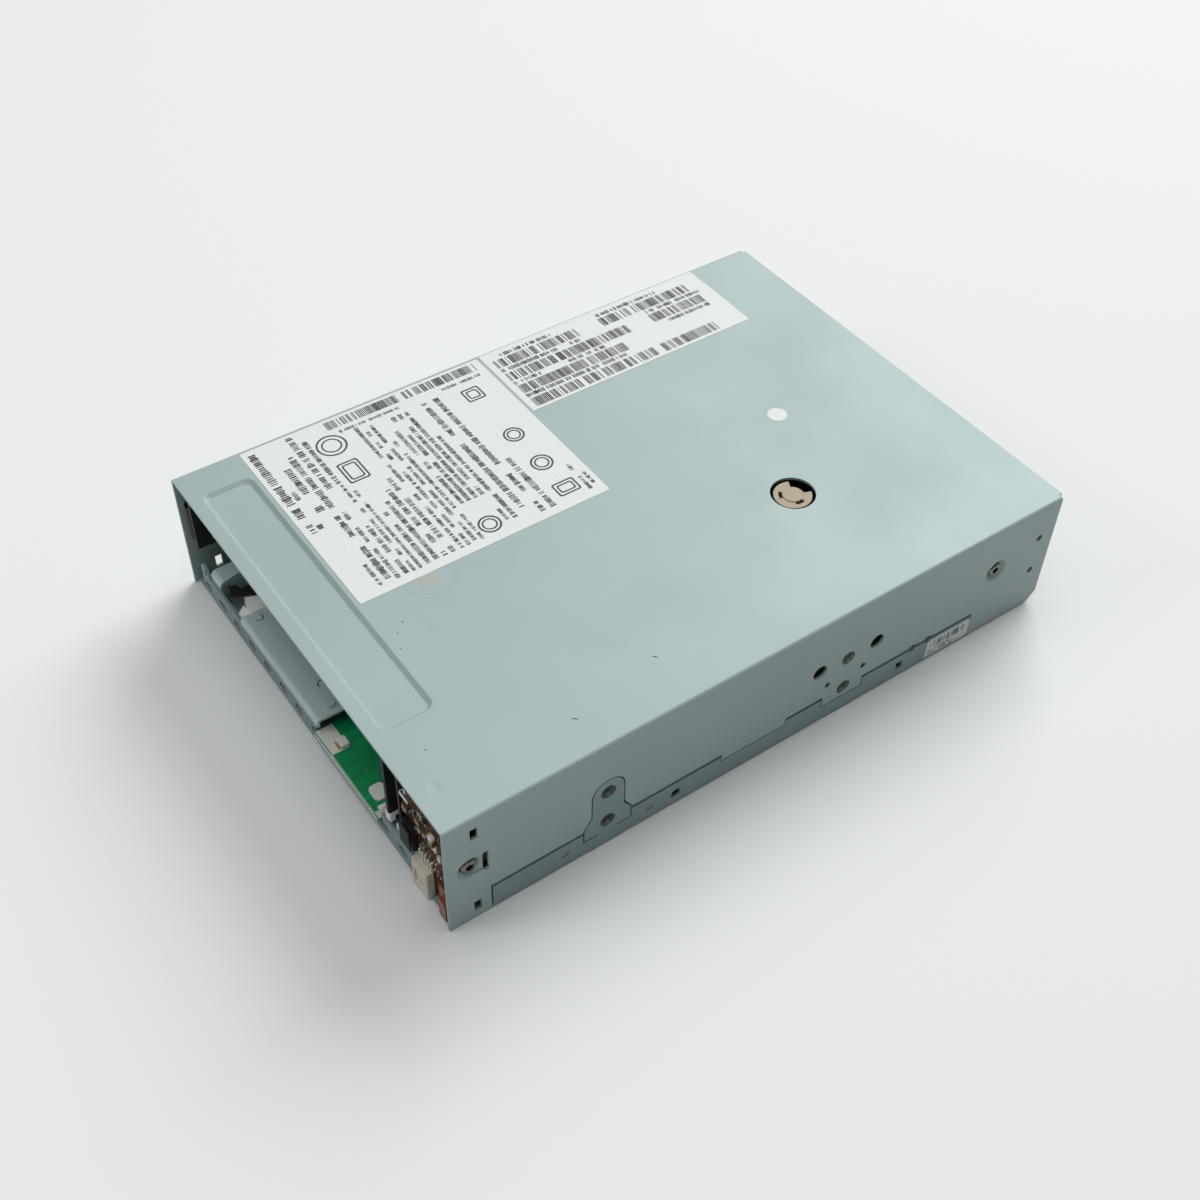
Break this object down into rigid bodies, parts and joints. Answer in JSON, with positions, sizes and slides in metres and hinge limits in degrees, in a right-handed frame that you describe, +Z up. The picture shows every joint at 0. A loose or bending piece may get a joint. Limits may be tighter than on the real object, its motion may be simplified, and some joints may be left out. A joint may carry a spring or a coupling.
{
  "type": "tape drive",
  "caption": "Half-height library tape drive: folded steel case, open front with cartridge mouth, loader, reels, threader and tape head inside.",
  "frame": {"origin": "middle of the footprint, on the plane of the four base pads", "axes": "+X to the right seen from the open front, +Y from the front to the rear connectors, +Z up"},
  "size_m": [0.146, 0.2044, 0.041],
  "materials": {
    "cover_steel": "satin plated steel",
    "tray_steel": "satin plated steel",
    "cast_aluminium": "as cast",
    "circuit_board": "green solder mask",
    "chip_plastic": "matt",
    "connector_plastic": "matt",
    "black_plastic": "fine matt",
    "white_plastic": "fine matt",
    "cream_plastic": "fine matt",
    "flex_film": "amber film",
    "lamp_resin": "clear resin",
    "bright_steel": "bright",
    "zinc_steel": "zinc plated",
    "motor_steel": "drawn",
    "gear_plastic": "moulded",
    "reel_plastic": "moulded",
    "clip_bronze": "bright",
    "head_ceramic": "lapped",
    "roller_metal": "turned"
  },
  "bodies": {
    "chassis": {"top_cover": "cover_steel", "bottom_tray": "tray_steel", "deck_casting": "cast_aluminium", "logic_board": "circuit_board", "board_chips": "chip_plastic", "board_spacers": "bright_steel", "sas_connector": "connector_plastic", "library_port": "connector_plastic", "rear_plate": "tray_steel", "loader_side_right": "black_plastic", "loader_side_left": "black_plastic", "loader_motor": "motor_steel", "supply_motor": "motor_steel", "takeup_motor": "motor_steel", "reel_shaft": "clip_bronze", "e_clip": "clip_bronze", "pivot_posts": "bright_steel", "head_rods": "bright_steel", "head_bridge": "zinc_steel", "head_stepper": "motor_steel", "threader_motor": "motor_steel", "entry_plate": "zinc_steel", "guide_bracket": "zinc_steel", "sensor_block": "white_plastic", "guide_clip": "black_plastic", "panel_board": "flex_film", "panel_backing": "black_plastic", "panel_foot": "white_plastic", "panel_socket": "cream_plastic", "switch_body": "black_plastic", "indicator_lamps": "lamp_resin", "flex_tail": "flex_film"},
    "carriage": {"carriage_frame": "zinc_steel"},
    "tray": {"cartridge_tray": "zinc_steel"},
    "cam_right": {"cam_plate_right": "zinc_steel"},
    "cam_left": {"cam_plate_left": "zinc_steel"},
    "drive_gear": {"drive_gear": "gear_plastic"},
    "loader_pinion": {"loader_pinion": "gear_plastic"},
    "drive_hub": {"hub_rotor": "bright_steel", "hub_chuck": "bright_steel", "hub_magnet": "chip_plastic"},
    "takeup_reel": {"reel_hub": "reel_plastic", "reel_flange": "reel_plastic", "reel_rotor": "motor_steel"},
    "roller_1": {"guide_roller_1": "roller_metal"},
    "roller_2": {"guide_roller_2": "roller_metal"},
    "roller_3": {"guide_roller_3": "roller_metal"},
    "roller_4": {"guide_roller_4": "roller_metal"},
    "head": {"head_carriage": "cast_aluminium", "tape_head": "head_ceramic"},
    "lead_screw": {"lead_screw": "bright_steel"},
    "threader": {"threader_arm": "zinc_steel", "threader_gear": "gear_plastic", "pin_grabber": "bright_steel"},
    "threader_pinion": {"threader_pinion": "gear_plastic"},
    "lock_lever": {"lock_lever": "black_plastic"},
    "eject_plunger": {"switch_plunger": "black_plastic"}
  },
  "joints": [
    {"name": "carriage_draw", "type": "slide", "parent": "chassis", "child": "carriage", "axis": [0, 1, 0], "range_m": [0, 0.02]},
    {"name": "cam_right_slide", "type": "slide", "parent": "carriage", "child": "cam_right", "axis": [0, 1, 0], "range_m": [0, 0.012]},
    {"name": "cam_left_slide", "type": "slide", "parent": "carriage", "child": "cam_left", "axis": [0, 1, 0], "range_m": [0, 0.012]},
    {"name": "tray_lower", "type": "slide", "parent": "carriage", "child": "tray", "axis": [0, 0, -1], "range_m": [0, 0.0045]},
    {"name": "drive_gear_turn", "type": "hinge", "parent": "chassis", "child": "drive_gear", "pos_m": [0.0595, -0.0422, 0.014], "axis": [0, 0, 1], "range_deg": [-191, 0]},
    {"name": "loader_pinion_turn", "type": "hinge", "parent": "chassis", "child": "loader_pinion", "pos_m": [0.0595, -0.0542, 0.018], "axis": [0, 0, 1], "range_deg": [0, 382]},
    {"name": "drive_hub_spin", "type": "hinge", "parent": "chassis", "child": "drive_hub", "pos_m": [-0.009, -0.0562, 0.012], "axis": [0, 0, 1], "continuous": true},
    {"name": "takeup_reel_spin", "type": "hinge", "parent": "chassis", "child": "takeup_reel", "pos_m": [0.0289, 0.0391, 0.02], "axis": [0, 0, 1], "continuous": true},
    {"name": "roller_1_spin", "type": "hinge", "parent": "chassis", "child": "roller_1", "pos_m": [-0.04775, 0.01096, 0.02], "axis": [0, 0, 1], "continuous": true},
    {"name": "roller_2_spin", "type": "hinge", "parent": "chassis", "child": "roller_2", "pos_m": [-0.05196, 0.02433, 0.02], "axis": [0, 0, 1], "continuous": true},
    {"name": "roller_3_spin", "type": "hinge", "parent": "chassis", "child": "roller_3", "pos_m": [-0.0431, 0.04628, 0.02], "axis": [0, 0, 1], "continuous": true},
    {"name": "roller_4_spin", "type": "hinge", "parent": "chassis", "child": "roller_4", "pos_m": [-0.03077, 0.05297, 0.02], "axis": [0, 0, 1], "continuous": true},
    {"name": "head_lift", "type": "slide", "parent": "chassis", "child": "head", "axis": [0, 0, 1], "range_m": [-0.0043, 0.0043]},
    {"name": "lead_screw_turn", "type": "hinge", "parent": "chassis", "child": "lead_screw", "pos_m": [-0.0393, 0.03198, 0.02], "axis": [0, 0, 1], "range_deg": [-516.1, 516.1]},
    {"name": "threader_swing", "type": "hinge", "parent": "chassis", "child": "threader", "pos_m": [-0.024, 0.0258, 0.034], "axis": [0, 0, -1], "range_deg": [0, 148]},
    {"name": "threader_pinion_turn", "type": "hinge", "parent": "chassis", "child": "threader_pinion", "pos_m": [-0.024, 0.0138, 0.036], "axis": [0, 0, -1], "range_deg": [-296, 0]},
    {"name": "lock_swing", "type": "hinge", "parent": "chassis", "child": "lock_lever", "pos_m": [-0.0465, -0.0862, 0.0115], "axis": [0, 0, 1], "range_deg": [-6, 8]},
    {"name": "eject_press", "type": "slide", "parent": "chassis", "child": "eject_plunger", "axis": [0, 1, 0], "range_m": [0, 0.0004], "stiffness_N_per_m": 500}
  ],
  "couplings": [
    {"joint": "cam_left_slide", "follows": "cam_right_slide", "ratio": 1},
    {"joint": "tray_lower", "follows": "cam_right_slide", "ratio": 0.375},
    {"joint": "drive_gear_turn", "follows": "carriage_draw", "rad_per_m": -166.67},
    {"joint": "loader_pinion_turn", "follows": "carriage_draw", "rad_per_m": 333.33},
    {"joint": "lead_screw_turn", "follows": "head_lift", "rad_per_m": 2094.4},
    {"joint": "threader_pinion_turn", "follows": "threader_swing", "ratio": -2}
  ]
}
